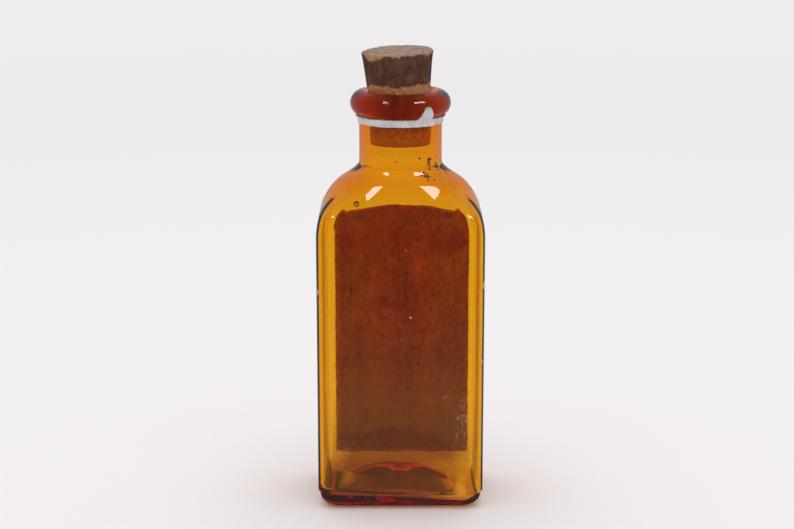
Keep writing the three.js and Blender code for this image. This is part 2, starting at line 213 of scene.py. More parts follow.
class MarksSettings(PropertyGroup):
    """Dirt, crumbs and dust on the glass"""
    lift: length("Lift", "Gap between a flake and the glass", 0.01)
    thickness: length("Thickness", "Thickness of the flakes", 0.05)
    dirt_dark: colour("Dirt, dark", "Darker tone of the dirt", 0.06, 0.022, 0.01)
    dirt_light: colour("Dirt, light", "Lighter tone of the dirt", 0.22, 0.08, 0.03)
    crumb_dark: colour("Crumbs, dark", "Darker tone of the paper crumbs", 0.5, 0.34, 0.19)
    crumb_light: colour("Crumbs, light", "Lighter tone of the paper crumbs", 0.82, 0.66, 0.46)


class StageSettings(PropertyGroup):
    """Floor, light and camera"""
    floor: colour("Floor", "Colour of the floor", 0.84, 0.825, 0.835)
    floor_radius: length("Floor radius", "Radius of the floor", 6000)
    room_level: amount("Room level", "Brightness of the room above and on the camera's side", 0.7)
    backdrop_level: amount("Backdrop level", "Brightness of the backdrop behind the bottle", 1.0)
    # In the glass's reflections the front of the room is this dim, and the floor there a painted glow.
    mirrored_front_level: amount("Card level", "Brightness of the front of the room in the glass's reflections", 0.1)
    lamplight: amount("Lamplight", "Brightness of the room to what lies behind glass", 2.5)
    # Painted amber shadow on the floor behind the bottle, seen only through the glass.
    shade: colour("Shade", "Colour of the amber shade behind the bottle, seen through it", 0.34, 0.16, 0.05)
    # Painted light: a glow on the floor under the bottle's right side, seen only through the glass.
    painted_spill: amount("Spill", "Light that the glass lets fall on the floor under its right side", 0.5)
    camera_place: place("Camera place", "Where the camera stands", -0.00102, -0.511, 0.1912)
    camera_pitch: turn("Camera pitch", "How far the camera looks down", 13.3)
    photo_width: count("Photo width", "Width of the picture in pixels", 794)
    focal_pixels: amount("Focal length", "Focal length in those pixels", 1780)


# Curves and sections of the glass

Level = namedtuple("Level", "height half_width half_depth corner shift roundness")
Oval = namedtuple("Oval", "x z rx rz")

SIDE_POINTS = 8
CORNER_POINTS = 22
PANEL_POINTS = 12
DOME_STEPS = 18
HEEL_STEPS = 14
WALL_STEPS = 8
BORE_STEPS = 36
SHOULDER_STEPS = 40
HOLLOW_STEPS = 12
LIP_STEPS = 40
MOUTH_STEPS = 12


def mix(low, high, share):
    return low + (high - low) * share


def smooth(low, high, value):
    """Rises from 0 to 1 between two values, softly at both ends."""
    share = min(1.0, max(0.0, (value - low) / (high - low)))
    return share * share * (3 - 2 * share)


def steps(number):
    return [step / number for step in range(number + 1)]


def wander(where, waves):
    """Uneven about 0: noise in waves, each with how often it turns in a metre and its share."""
    return sum(share * noise.noise(where * often) for often, share in waves)


def quadratic(start, control, end, number):
    """Points of a quadratic curve after its start."""
    points = []
    for share in steps(number)[1:]:
        first = tuple(mix(a, b, share) for a, b in zip(start, control))
        second = tuple(mix(a, b, share) for a, b in zip(control, end))
        points.append(tuple(mix(a, b, share) for a, b in zip(first, second)))
    return points


def oval_point(oval, angle):
    return oval.x + oval.rx * math.cos(angle), oval.z + oval.rz * math.sin(angle)


def oval_arc(oval, start, end, number):
    return [oval_point(oval, mix(start, end, share)) for share in steps(number)]


def tangent_height(oval, angle, radius):
    """Height where the oval's tangent at an angle crosses the upright line at a radius."""
    x, z = oval_point(oval, angle)
    return z + (x - radius) * (oval.rz * math.cos(angle)) / (oval.rx * math.sin(angle))


def lip_underside(glass):
    return GLASS_HIGH.z - glass.lip_height


def lip_oval(glass):
    centre = lip_underside(glass) + glass.lip_height / 2
    return Oval(glass.neck_radius - glass.lip_root, centre,
                glass.lip_root + glass.lip_projection, glass.lip_height / 2)


def lip_path(glass, start):
    """The glass's outside in radius and height, from a height on the neck over the rolled lip."""
    oval = lip_oval(glass)
    crease = tangent_height(oval, -glass.lip_turn, glass.neck_radius)
    foot = (glass.neck_radius, crease - glass.lip_hollow)
    roll = oval_arc(oval, -glass.lip_turn, math.pi / 2, LIP_STEPS)
    hollow = quadratic(foot, (glass.neck_radius, crease), roll[0], HOLLOW_STEPS)
    neck = [(glass.neck_radius, mix(start, foot[1], share)) for share in steps(WALL_STEPS)]
    return neck + hollow + roll[1:]


def shoulder_path(glass, half_width, start, rise, tube_radius, flare):
    """A quarter ellipse that turns hollow into an upright tube."""
    oval = Oval(tube_radius, start, half_width - tube_radius, rise)
    crease = tangent_height(oval, glass.shoulder_turn, tube_radius)
    arch = oval_arc(oval, 0, glass.shoulder_turn, SHOULDER_STEPS)
    end = (tube_radius, crease + flare)
    return arch + quadratic(arch[-1], (tube_radius, crease), end, HOLLOW_STEPS)


def shoulder_levels(glass, body, rise, tube_radius, delay, flare):
    """Levels that pass from the body's rounded rectangle to a round tube."""
    levels = []
    for x, z in shoulder_path(glass, body.half_width, body.height, rise, tube_radius, flare):
        share = (x - tube_radius) / (body.half_width - tube_radius)
        half_depth = mix(tube_radius, body.half_depth, share)
        corner = mix(tube_radius, body.corner, share)
        roundness = (1 - share ** glass.shoulder_rounding) ** delay
        levels.append(Level(z, x, half_depth, corner, body.shift * share, roundness))
    return levels


def round_levels(points):
    return [Level(z, x, x, x, 0, 1) for x, z in points]


def dome_levels(rim, rise, spread):
    """A dome over a share of a flat floor, from near its middle out to the floor's rim."""
    levels = []
    for reach in steps(DOME_STEPS)[1:]:
        height = rim.height + rise * max(0.0, 1 - (reach / spread) ** 2)
        corner = mix(rim.half_depth * reach, rim.corner, reach * reach)
        levels.append(rim._replace(height=height, half_width=rim.half_width * reach,
                                   half_depth=rim.half_depth * reach, corner=corner))
    return levels


def heel_levels(wall, radius, floor):
    """A quarter round from a flat floor out to an upright wall."""
    levels = []
    for share in steps(HEEL_STEPS):
        angle = share * math.pi / 2
        inset = radius * (1 - math.sin(angle))
        height = floor + radius * (1 - math.cos(angle))
        levels.append(wall._replace(height=height, half_width=wall.half_width - inset,
                                    half_depth=wall.half_depth - inset))
    return levels


def wall_levels(low, high, number=WALL_STEPS):
    """Levels between two others, without the two."""
    return [Level(*(mix(a, b, share) for a, b in zip(low, high))) for share in steps(number)[1:-1]]


def body_level(glass):
    """The body's rounded rectangle where the shoulder starts."""
    half_width = (GLASS_HIGH.x - GLASS_LOW.x) / 2
    half_depth = (GLASS_HIGH.y - GLASS_LOW.y) / 2
    return Level(glass.body_height, half_width, half_depth, glass.edge_radius, 0, 0)


def outside_levels(glass):
    """The outside, from the middle of the base to the start of the mouth's rounding."""
    body = body_level(glass)
    push_up_corner = glass.push_up_depth / 2
    push_up = Level(0, glass.push_up_width / 2, push_up_corner, push_up_corner, 0, 0)
    heel = body._replace(half_width=body.half_width - glass.seam_step,
                         half_depth=body.half_depth - glass.seam_step)
    seam_top = glass.seam_height + glass.seam_slope
    seam = [heel._replace(height=glass.seam_height - glass.seam_slope / 3),
            heel._replace(height=glass.seam_height),
            body._replace(height=seam_top),
            body._replace(height=seam_top + glass.seam_slope / 3)]
    levels = dome_levels(push_up, glass.push_up_height, 1.0)
    levels += heel_levels(heel, glass.heel_radius, 0)[:-1] + seam
    levels += wall_levels(seam[-1], body)
    levels += shoulder_levels(glass, body, glass.shoulder_rise, glass.neck_radius,
                              glass.rounding_delay, glass.neck_hollow)
    return levels + round_levels(lip_path(glass, levels[-1].height)[1:])


def inside_levels(glass):
    """The hollow, from the middle of its floor up to the mouth."""
    body = body_level(glass)
    hollow = body._replace(half_width=body.half_width - glass.side_wall,
                           half_depth=body.half_depth - glass.panel_wall,
                           corner=glass.inner_edge_radius, shift=glass.cavity_shift)
    inset = glass.inner_heel_radius
    rim = hollow._replace(height=glass.floor_rim, half_width=hollow.half_width - inset,
                          half_depth=hollow.half_depth - inset)
    levels = dome_levels(rim, floor_peak(glass) - glass.floor_rim, glass.floor_spread)[:-1]
    levels += heel_levels(hollow, inset, glass.floor_rim)
    levels += wall_levels(levels[-1], hollow)
    root_radius = glass.neck_radius - glass.neck_root_wall
    rise = glass.shoulder_rise - glass.shoulder_wall
    levels += shoulder_levels(glass, hollow, rise, root_radius, glass.hollow_delay, glass.hollow_flare)
    bore = glass.neck_radius - glass.mouth_wall
    mouth = GLASS_HIGH.z - glass.mouth_drop
    levels += wall_levels(levels[-1], round_levels([(bore, mouth)])[0], BORE_STEPS)
    oval = lip_oval(glass)
    rounding = Oval(oval.x, mouth, oval.x - bore, glass.mouth_drop)
    return levels + round_levels(oval_arc(rounding, math.pi, math.pi / 2, MOUTH_STEPS)[:-1])


def floor_peak(glass):
    return glass.push_up_height + glass.floor_centre


def quarter_runs(level):
    """Lengths of the side's flat, the corner and the panel's flat in a quarter of a level's outline."""
    return level.half_depth - level.corner, level.corner * math.pi / 2, level.half_width - level.corner


def quarter_shares(level):
    """Shares of a quarter's length where its points lie: few on the flats, many on the corner."""
    runs = quarter_runs(level)
    shares = []
    start = 0
    for run, points in zip(runs, (SIDE_POINTS, CORNER_POINTS, PANEL_POINTS)):
        shares += [(start + run * point / points) / sum(runs) for point in range(points)]
        start += run
    return shares


def quarter_point(level, share):
    """The point at a share of the way from the side's middle round to the panel's middle."""
    side, bend, panel = quarter_runs(level)
    reach = share * (side + bend + panel)
    if reach <= side:
        return level.half_width, reach
    if reach <= side + bend:
        angle = (reach - side) / level.corner
        return (level.half_width - level.corner * (1 - math.cos(angle)),
                level.half_depth - level.corner * (1 - math.sin(angle)))
    return level.half_width - level.corner - (reach - side - bend), level.half_depth


def rounded_point(level, share):
    """That point, moved towards an ellipse by the level's roundness."""
    x, y = quarter_point(level, share)
    angle = share * math.pi / 2
    return (mix(x, level.half_width * math.cos(angle), level.roundness),
            mix(y, level.half_depth * math.sin(angle), level.roundness))


def ring_places(level, shares):
    quarter = [rounded_point(level, share) for share in shares]
    mirrored = [rounded_point(level, 1.0), *quarter[:0:-1]]
    sides = ((1, 1, quarter), (-1, 1, mirrored), (-1, -1, quarter), (1, -1, mirrored))
    return [Vector((right * x + level.shift, back * y, level.height))
            for right, back, run in sides for x, y in run]


# Mesh helpers

def loop_edges(bm, loop):
    return [bm.edges.get((a, b)) for a, b in zip(loop, loop[1:] + loop[:1])]


def put(verts, places):
    for vert, where in zip(verts, places):
        vert.co = where


def cap(bm, loop, centre):
    """Closes a loop with a fan around a centre."""
    face = bmesh.ops.contextual_create(bm, geom=loop_edges(bm, loop))["faces"]
    hub = bmesh.ops.poke(bm, faces=face)["verts"]
    put(hub, [centre])


def loft(bm, rings, start, end):
    """A closed skin from a centre over a run of rings to another centre."""
    loop = bmesh.ops.create_circle(bm, segments=len(rings[0]), radius=1.0)["verts"]
    put(loop, rings[0])
    first = list(loop)
    for ring in rings[1:]:
        grown = bmesh.ops.extrude_edge_only(bm, edges=loop_edges(bm, loop))["geom"]
        fresh = {part for part in grown if isinstance(part, bmesh.types.BMVert)}
        loop = [next(e.other_vert(v) for e in v.link_edges if e.other_vert(v) in fresh) for v in loop]
        put(loop, ring)
    cap(bm, first, start)
    cap(bm, loop, end)


def thicken(bm, thickness):
    """Gives an open sheet its thickness, along its normals."""
    bm.normal_update()
    normals = {vert.co.copy().freeze(): vert.normal.copy() for vert in bm.verts}
    twins = bmesh.ops.extrude_face_region(bm, geom=bm.faces[:])["geom"]
    for vert in (part for part in twins if isinstance(part, bmesh.types.BMVert)):
        vert.co += normals[vert.co.copy().freeze()] * thickness
    bmesh.ops.recalc_face_normals(bm, faces=bm.faces)


def turn_outwards(bm, outward):
    """Turns an open sheet to its outside, which a function of each face measures."""
    bmesh.ops.recalc_face_normals(bm, faces=bm.faces)
    if sum(outward(face) for face in bm.faces) < 0:
        bmesh.ops.reverse_faces(bm, faces=bm.faces)


def on_surface(where, normal):
    """A place on a surface, turned so that its own Z points away from it."""
    return Matrix.Translation(where) @ normal.to_track_quat("Z", "Y").to_matrix().to_4x4()


def finish_piece(bm, name, body, slot, finishes, *replaced):
    """Makes the mesh an object that rides on a body and takes the place of CAD nodes."""
    mesh = bpy.data.meshes.new(name)
    bm.to_mesh(mesh)
    bm.free()
    for face in mesh.polygons:
        face.use_smooth = True
    piece = bpy.data.objects.new(name, mesh)
    bpy.context.scene.collection.objects.link(piece)
    for finish in finishes:
        mesh.materials.append(finish)
    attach(piece, body)
    if replaced:
        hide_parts(*replaced)


# Material helpers

# Scales are features per metre
Pattern = namedtuple("Pattern", "scale detail roughness stretch", defaults=(0.55, 1.0))
FILM_MOTTLE = Pattern(330, 6, 0.7)
GLASS_RIPPLE = Pattern(70, 1)
MOUTH_BLOTCHES = Pattern(500, 5, 0.6, 3)
CORK_STREAKS = Pattern(1300, 6, 0.7, 6)
CORK_GRAIN = Pattern(1600, 6, 0.65, 1.6)
CORK_PATCHES = Pattern(260, 3)
CORK_RUBBED = Pattern(420, 6, 0.7, 2)
CORK_PORES = Pattern(1100, 3, 0.55, 1.7)
CROWN_GRAIN = Pattern(700, 6, 0.65)
PASTE_CLOUDS = Pattern(70, 5, 0.65)
PASTE_BANDS = Pattern(190, 2, 0.55, 22)
PASTE_MOTTLE = Pattern(900, 5, 0.7, 1.8)
PASTE_SMUDGES = Pattern(130, 4, 0.6)
PAPER_CLOUDS = Pattern(60, 5, 0.6)
PAPER_FIBRES = Pattern(1800, 4, 0.55, 3)
SEAL_SOIL = Pattern(420, 5, 0.65)
SEAL_SHADE = Pattern(260, 4)
SEAL_FIBRES = Pattern(1300, 4)
DIRT_GRAIN = Pattern(1400, 5, 0.65)
CRUMB_GRAIN = Pattern(900, 4)


def new_material(name):
    material = bpy.data.materials.new(name)
    material.use_nodes = True
    return material, material.node_tree, material.node_tree.nodes["Principled BSDF"]


def add_node(tree, kind, inputs=None, **settings):
    node = tree.nodes.new(kind)
    for key, value in settings.items():
        setattr(node, key, value)
    for key, value in (inputs or {}).items():
        if isinstance(value, bpy.types.NodeSocket):
            tree.links.new(value, node.inputs[key])
        else:
            node.inputs[key].default_value = value
    return node


def object_noise(tree, pattern):
    """Noise on the piece's own coordinates, drawn out upwards by the pattern's stretch."""
    coordinates = add_node(tree, "ShaderNodeTexCoord")
    mapping = add_node(tree, "ShaderNodeMapping", {
        "Vector": coordinates.outputs["Object"], "Scale": (1, 1, 1 / pattern.stretch)})
    return add_node(tree, "ShaderNodeTexNoise", {
        "Vector": mapping.outputs["Vector"], "Scale": pattern.scale, "Detail": pattern.detail,
        "Roughness": pattern.roughness}).outputs["Fac"]


def ramp(tree, factor, *stops):
    """A colour ramp of places and colours, or of places and grey values."""
    node = add_node(tree, "ShaderNodeValToRGB", {"Fac": factor})
    for index, (where, value) in enumerate(stops):
        stop = node.color_ramp.elements[index] if index < 2 else node.color_ramp.elements.new(where)
        stop.position = where
        stop.color = (*value, 1) if hasattr(value, "__len__") else (value, value, value, 1)
    return node.outputs["Color"]


def patterned(tree, pattern, *stops):
    """A colour ramp over a pattern's noise."""
    return ramp(tree, object_noise(tree, pattern), *stops)


def darker(tone, share):
    return tuple(share * channel for channel in tone)


def blend_colour(tree, factor, first, second, mode="MIX"):
    """Mixes two colours, each a socket or a tone."""
    first, second = (value if isinstance(value, bpy.types.NodeSocket) else (*value, 1)
                     for value in (first, second))
    return add_node(tree, "ShaderNodeMix", {0: factor, 6: first, 7: second},
                    data_type="RGBA", blend_type=mode).outputs[2]


def attribute(tree, name):
    return add_node(tree, "ShaderNodeAttribute", attribute_name=name).outputs["Fac"]


def object_axis(tree, axis):
    """A piece's own coordinate along one axis."""
    coordinates = add_node(tree, "ShaderNodeTexCoord")
    return add_node(tree, "ShaderNodeSeparateXYZ", {"Vector": coordinates.outputs["Object"]}).outputs[axis]


def calculate(tree, operation, first, second=0.0, clamp=False):
    return add_node(tree, "ShaderNodeMath", {0: first, 1: second},
                    operation=operation, use_clamp=clamp).outputs["Value"]


def times(tree, first, second):
    return calculate(tree, "MULTIPLY", first, second)


def off_middle(tree):
    """Distance to either side of a piece's middle."""
    return calculate(tree, "ABSOLUTE", object_axis(tree, "X"))


def map_range(tree, value, low, high, bottom=0.0, top=1.0, soft=False):
    """Passes from a bottom to a top value as another value goes from low to high."""
    return add_node(tree, "ShaderNodeMapRange", {
        "Value": value, "From Min": low, "From Max": high, "To Min": bottom, "To Max": top},
        interpolation_type="SMOOTHSTEP" if soft else "LINEAR").outputs["Result"]


def mix_values(tree, share, low, high):
    return map_range(tree, share, 0.0, 1.0, low, high)


def by_height(tree, low, high, bottom, top):
    """A value that changes from one height on a piece to another."""
    return map_range(tree, object_axis(tree, "Z"), low, high, bottom, top, soft=True)


def paint(tree, shader, tone, roughness):
    tree.links.new(tone, shader.inputs["Base Color"])
    shader.inputs["Roughness"].default_value = roughness


def bump(tree, shader, height, millimetres, strength):
    node = add_node(tree, "ShaderNodeBump", {
        "Height": height, "Distance": millimetres * MM, "Strength": strength})
    tree.links.new(node.outputs["Normal"], shader.inputs["Normal"])


# Finishes of the pieces

DUST_RISE = 0.2
DUST_LEFT = 0.2
STAIN_MIDDLE = 0.3
STAIN_SIDE = 0.75
DARK_PATCH = 0.7
BAND_SHARE = 0.4
MOTTLE_SHARE = 0.55
FIBRE_SHARE = 0.35
DARKER_FOOT_REACH = 0.55
SEAL_DULL = 0.78


def glass_film(tree, glass):
    """Share of light that passes dust outside and dried residue inside, and the colour of both."""
    mottle = patterned(tree, FILM_MOTTLE, (0.38, 0.15), (0.68, 1.0))
    residue = times(tree, by_height(tree, glass.residue_low, glass.residue_high, glass.residue, 0), mottle)
    start, end = glass.body_height * DUST_RISE, glass.body_height
    dust = by_height(tree, start, end, glass.dust, glass.dust * DUST_LEFT)
    scuffs = by_height(tree, glass.seam_height, glass.seam_height * 2, glass.scuffs, 0)
    inside = attribute(tree, "inside")
    film = mix_values(tree, inside, calculate(tree, "ADD", dust, scuffs), residue)
    passed = calculate(tree, "SUBTRACT", 1.0, film)
    return passed, blend_colour(tree, times(tree, inside, residue), glass.dust_colour, glass.residue_colour)


def amber_glass(glass):
    material, tree, shader = new_material("amber_glass")
    passed, film_colour = glass_film(tree, glass)
    tree.links.new(passed, shader.inputs["Transmission Weight"])
    paint(tree, shader, film_colour, roughness=0.0)
    shader.inputs["IOR"].default_value = glass.refraction
    volume = add_node(tree, "ShaderNodeVolumeAbsorption", {
        "Color": (*glass.absorption_colour, 1), "Density": glass.absorption_density})
    tree.links.new(volume.outputs["Volume"], tree.nodes["Material Output"].inputs["Volume"])
    bump(tree, shader, object_noise(tree, GLASS_RIPPLE), millimetres=0.06, strength=0.5)
    return material


def mouth_stain(glass):
    """Dried residue on the bore, where the cork is pressed against the glass."""
    material, tree, shader = new_material("mouth_stain")
    tone = patterned(tree, MOUTH_BLOTCHES, (0.3, glass.stain_dark), (0.7, glass.stain_light))
    side = map_range(tree, off_middle(tree), glass.neck_radius * STAIN_MIDDLE, glass.neck_radius * STAIN_SIDE)
    paint(tree, shader, blend_colour(tree, side, tone, glass.stain_side), roughness=0.8)
    return material


def stained_cork(cork):
    material, tree, shader = new_material("stained_cork")
    grain = object_noise(tree, CORK_GRAIN)
    tone = patterned(tree, CORK_STREAKS, (0.22, cork.stain_dark), (0.8, cork.stain_light))
    patches = patterned(tree, CORK_PATCHES, (0.35, 0.0), (0.75, 0.55))
    tone = blend_colour(tree, patches, tone, darker(cork.stain_dark, DARK_PATCH))
    rubbed = patterned(tree, CORK_RUBBED, (0.5, 0.0), (0.72, 0.75))
    tone = blend_colour(tree, rubbed, tone, cork.rubbed)
    crown = patterned(tree, CROWN_GRAIN, (0.35, cork.crown_dark), (0.66, cork.crown_light))
    tone = blend_colour(tree, attribute(tree, "crown"), tone, crown)
    bare = ramp(tree, grain, (0.33, cork.bare_dark), (0.62, cork.bare_light))
    tone = blend_colour(tree, attribute(tree, "bare"), tone, bare)
    pores = patterned(tree, CORK_PORES, (0.63, 0.0), (0.70, 0.85))
    paint(tree, shader, blend_colour(tree, pores, tone, cork.pores), roughness=0.86)
    shader.inputs["Specular IOR Level"].default_value = 0.25
    bump(tree, shader, grain, millimetres=0.25, strength=0.8)
    return material


def let_light_through(shader):
    """Thin paper scatters light from one side to the other."""
    shader.inputs["Subsurface Weight"].default_value = 1.0
    shader.inputs["Subsurface Radius"].default_value = (1.0, 0.75, 0.5)
    shader.inputs["Subsurface Scale"].default_value = 0.5 * MM


def pasted_paper(label):
    """The label's side on the glass, darkened by its glue."""
    material, tree, shader = new_material("pasted_paper")
    clouds, bands, mottle = (object_noise(tree, pattern)
                             for pattern in (PASTE_CLOUDS, PASTE_BANDS, PASTE_MOTTLE))
    tone = ramp(tree, blend_colour(tree, BAND_SHARE, clouds, bands),
                (0.36, label.paste_dark), (0.64, label.paste_light))
    tone = blend_colour(tree, MOTTLE_SHARE, tone, ramp(tree, mottle, (0.3, 0.2), (0.7, 0.8)), "OVERLAY")
    smudges = patterned(tree, PASTE_SMUDGES, (0.62, 0.0), (0.74, 0.7))
    tone = blend_colour(tree, smudges, tone, label.smudge)
    tone = blend_colour(tree, attribute(tree, "arch"), tone, label.red_tint, "MULTIPLY")
    # Darker towards the foot of the pasted side.
    darker_foot = by_height(tree, LABEL_LOW.z, mix(LABEL_LOW.z, LABEL_HIGH.z, DARKER_FOOT_REACH), label.darker_foot, 0)
    tone = blend_colour(tree, darker_foot, tone, label.smudge)
    rubbed = ramp(tree, mottle, (0.35, 0.0), (0.6, 0.8))
    worn = blend_colour(tree, attribute(tree, "worn"), (0, 0, 0), rubbed)
    paint(tree, shader, blend_colour(tree, worn, tone, label.worn), roughness=0.7)
    let_light_through(shader)
    return material


def aged_paper(label):
    """The label's outer side, bare and browned."""
    material, tree, shader = new_material("aged_paper")
    fibres = object_noise(tree, PAPER_FIBRES)
    tone = patterned(tree, PAPER_CLOUDS, (0.32, label.paper_dark), (0.68, label.paper_light))
    tone = blend_colour(tree, FIBRE_SHARE, tone, ramp(tree, fibres, (0.3, 0.25), (0.7, 0.85)), "SOFT_LIGHT")
    paint(tree, shader, tone, roughness=0.9)
    let_light_through(shader)
    bump(tree, shader, fibres, millimetres=0.08, strength=0.5)
    return material


def torn_paper(seal):
    material, tree, shader = new_material("torn_paper")
    tone = patterned(tree, SEAL_SHADE, (0.35, darker(seal.paper, SEAL_DULL)), (0.6, seal.paper))
    soil = patterned(tree, SEAL_SOIL, (0.56, 0.0), (0.74, 0.8))
    for share in (soil, attribute(tree, "edge")):
        tone = blend_colour(tree, share, tone, seal.soiled)
    paint(tree, shader, tone, roughness=0.75)
    bump(tree, shader, object_noise(tree, SEAL_FIBRES), millimetres=0.12, strength=0.7)
    return material


def crusted_dirt(marks):
    material, tree, shader = new_material("crusted_dirt")
    grain = object_noise(tree, DIRT_GRAIN)
    paint(tree, shader, ramp(tree, grain, (0.3, marks.dirt_dark), (0.7, marks.dirt_light)), roughness=0.8)
    bump(tree, shader, grain, millimetres=0.1, strength=0.6)
    return material


def paper_crumbs(marks):
    material, tree, shader = new_material("paper_crumbs")
    tone = patterned(tree, CRUMB_GRAIN, (0.3, marks.crumb_dark), (0.6, marks.crumb_light))
    paint(tree, shader, tone, roughness=0.85)
    return material


# Pieces. Places in the tables are millimetres, and pairs give where something starts and ends.

Seed = namedtuple("Seed", "place radius depth")
SEEDS = (
    Seed((-12.9, -15.7, 92.6), 0.85, 0.75), Seed((-10.4, -15.4, 94.2), 0.16, 0.5),
    Seed((16.5, -15.5, 89.2), 0.14, 0.6), Seed((3.0, -17, 71.7), 0.12, 0.7),
    Seed((-15.5, -17, 53.2), 0.15, 0.8), Seed((11.8, -17, 32.2), 0.13, 0.8),
    Seed((-6.0, -10.5, 106.2), 0.14, 0.9), Seed((23.5, 4.0, 62.2), 0.22, 0.7),
    Seed((24, -6.0, 29.2), 0.18, 0.7), Seed((-24, 2.0, 48.2), 0.25, 0.7),
    Seed((-24, 8.0, 71.2), 0.16, 0.7), Seed((14.0, 13.5, 94.2), 0.3, 0.7),
    Seed((-4.0, 11.5, 105.2), 0.2, 1.0),
)
SEED_FLATNESS = 0.7
SEED_SUBDIVISIONS = 3
STAIN_WANDER = Vector((300, 300, 60))


class BOTTLE_OT_glass(Operator):
    """Make the glass body, shoulder, neck and lip as one closed skin"""
    bl_idname = "bottle.glass"
    bl_label = "Glass bottle"

    def execute(self, context):
        glass = context.scene.bottle_glass
        shares = quarter_shares(body_level(glass))
        outside = outside_levels(glass)
        rings = [ring_places(level, shares) for level in outside + inside_levels(glass)[::-1]]
        self.tilt(rings[len(outside):], glass)
        bm = bmesh.new()
        loft(bm, rings, Vector((0, 0, glass.push_up_height)),
             Vector((glass.cavity_shift, 0, floor_peak(glass))))
        bmesh.ops.recalc_face_normals(bm, faces=bm.faces)
        self.sides(bm, len(outside) * len(rings[0]))
        self.stain(bm, glass)
        self.seeds(bm)
        finishes = (amber_glass(glass), mouth_stain(glass))
        finish_piece(bm, "bottle_glass", "bottle", "amber_glass", finishes, "glass_bottle")
        return {"FINISHED"}

    def tilt(self, rings, glass):
        """Lowers the right of the hollow's floor and raises its left, where the glass gathered."""
        top = glass.floor_rim + glass.inner_heel_radius
        for where in (place for ring in rings for place in ring):
            share = smooth(top * 2, top, where.z) * where.x / GLASS_HIGH.x
            where.z -= glass.floor_tilt * share

    def sides(self, bm, outside):
        """Marks the hollow's skin, which the loft makes after the outside, with its hub last."""
        inside = bm.verts.layers.float.new("inside")
        bm.verts.ensure_lookup_table()
        for vert in bm.verts[outside:-2]:
            vert[inside] = 1
        bm.verts[-1][inside] = 1

    def stain(self, bm, glass):
        """Marks the bore where residue has dried between the cork and the glass."""
        reach = glass.neck_radius - glass.mouth_wall / 2
        low = lip_underside(glass) - glass.stain_drop
        for face in bm.faces:
            middle = face.calc_center_median()
            inward = face.normal.dot(middle * SIDEWAYS) < 0
            edge = low + glass.stain_ragged * noise.noise(middle * STAIN_WANDER)
            if inward and edge < middle.z < GLASS_HIGH.z - glass.mouth_drop and middle.xy.length < reach:
                face.material_index = 1

    def seeds(self, bm):
        """Leaves a few small bubbles in the glass, as voids whose faces point into them."""
        tree = BVHTree.FromBMesh(bm)
        for seed in SEEDS:
            where, normal, *_ = tree.find_nearest(Vector(seed.place) * MM)
            size = Matrix.Diagonal((seed.radius * MM, seed.radius * MM, seed.radius * SEED_FLATNESS * MM, 1))
            sunk = on_surface(where - normal * seed.depth * MM, normal) @ size
            ball = bmesh.ops.create_icosphere(bm, subdivisions=SEED_SUBDIVISIONS, radius=1.0, matrix=sunk)
            faces = {face for vert in ball["verts"] for face in vert.link_faces}
            bmesh.ops.reverse_faces(bm, faces=list(faces))


CORK_SIDES = 224
CORK_ROWS = 84
CROWN_RINGS = 26
Chip = namedtuple("Chip", "direction spread height")
CHIPS = (Chip(-136, 24, 1.9), Chip(-92, 9, 0.9), Chip(-64, 8, 0.45), Chip(-28, 20, 1.2),
         Chip(70, 25, 0.8), Chip(150, 18, 0.6))
CHIP_MEAN = 0.75
CHIP_WANDER = ((9, 0.7),)
CHIP_SIDE = (0.6, 1.0)
CHIP_FOOT = (-0.25 * MM, 0.15 * MM)
CHIP_INWARD = (0.9 * MM, 0.3 * MM)
CROWN_SLOPE = (0.6, 0.95)
BAND_EDGE = (0.25 * MM, -0.25 * MM)
BAND_WANDER = ((700, 0.5), (220, 0.9))
PORE_EDGE = (0.30, 0.12)
PORE_STRETCH = 0.5
PORE_DENSITY = 420
GROOVE_STRETCH = 0.16
GROOVE_DENSITY = 1100
CORK_MERGE = 0.01 * MM


def cork_profile(glass, cork):
    """Half of the cork's outline about its own axis, from the buried end's middle to the crown's."""
    depth = cork.insertion - glass.mouth_drop
    stand = cork.stand + glass.mouth_drop
    mouth_radius = glass.neck_radius - glass.mouth_wall - cork.clearance
    end_radius = mouth_radius - cork.taper
    top_radius = mouth_radius + cork.flare
    points = [((end_radius - cork.edge) * share, -depth) for share in steps(CROWN_RINGS // 2)]
    points += [(mix(end_radius, mouth_radius, share), mix(cork.edge - depth, 0, share))
               for share in steps(CORK_ROWS // 2)]
    points += quadratic(points[-1], (top_radius - cork.swell, stand / 2),
                        (top_radius, stand - cork.edge), CORK_ROWS // 2)
    points += [((top_radius - cork.edge) * share, stand) for share in reversed(steps(CROWN_RINGS))]
    return points


def chip_height(angle):
    """How far down the side the rim is chipped in a direction."""
    around = Vector((math.cos(angle), math.sin(angle), 0))
    rough = CHIP_MEAN + wander(around, CHIP_WANDER)
    height = 0
    for chip in CHIPS:
        aside = math.remainder(angle - math.radians(chip.direction), math.tau) / math.radians(chip.spread)
        height = max(height, chip.height * MM * (1 - smooth(*CHIP_SIDE, abs(aside))))
    return height * max(0.0, rough)


